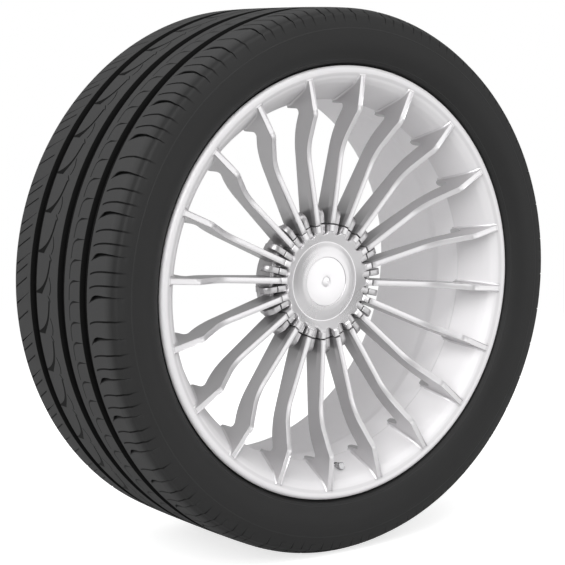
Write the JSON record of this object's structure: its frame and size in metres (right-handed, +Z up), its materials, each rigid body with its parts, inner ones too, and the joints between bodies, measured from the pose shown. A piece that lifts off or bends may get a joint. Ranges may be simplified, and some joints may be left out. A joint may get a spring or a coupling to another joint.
{
  "type": "wheel and tyre assembly",
  "caption": "Low profile car tyre on a cast alloy wheel with thin deep blades, a toothed hub cover that pulls off, a turning lock barrel and a valve with its cap.",
  "frame": {"origin": "centre of the rim, on the wheel's axis in the rim's middle plane", "axes": "+Y along the wheel's axis towards the vehicle, the outboard face looks along -Y, +Z up"},
  "size_m": [0.6866, 0.255, 0.6862],
  "materials": {
    "tyre_rubber": "matt",
    "bead_steel": "drawn wire",
    "wheel_silver": "satin silver lacquer",
    "cover_silver": "satin silver paint",
    "disc_silver": "bright silver paint",
    "spring_steel": "plain",
    "lock_metal": "plated",
    "valve_metal": "turned",
    "seal_rubber": "matt",
    "core_brass": "turned",
    "cap_chrome": "plated",
    "sensor_plastic": "moulded"
  },
  "bodies": {
    "rim_and_tyre": {"wheel": "wheel_silver", "tyre": "tyre_rubber", "outboard_bead_wire": "bead_steel", "inboard_bead_wire": "bead_steel", "valve_stem": "valve_metal", "valve_seal": "seal_rubber", "valve_core": "core_brass", "sensor_body": "sensor_plastic", "sensor_screw": "spring_steel"},
    "cover": {"hub_cover": "cover_silver", "centre_disc": "disc_silver", "cover_spring": "spring_steel"},
    "lock": {"lock_barrel": "lock_metal", "lock_cam": "spring_steel", "lock_screw": "spring_steel"},
    "cap": {"valve_cap": "cap_chrome", "cap_gasket": "seal_rubber"},
    "pin": {"core_pin": "core_brass"}
  },
  "joints": [
    {"name": "cover_pull", "type": "slide", "parent": "rim_and_tyre", "child": "cover", "axis": [0, -1, 0], "range_m": [0, 0.06]},
    {"name": "lock_turn", "type": "hinge", "parent": "cover", "child": "lock", "pos_m": [0, -0.065, 0], "axis": [0, -1, 0], "range_deg": [0, 90]},
    {"name": "cap_off", "type": "slide", "parent": "rim_and_tyre", "child": "cap", "axis": [-0.0135, -0.9659, 0.2585], "range_m": [0, 0.025]},
    {"name": "pin_press", "type": "slide", "parent": "rim_and_tyre", "child": "pin", "axis": [0.0135, 0.9659, -0.2585], "range_m": [0, 0.0012], "stiffness_N_per_m": 100, "springref_m": -0.004}
  ]
}
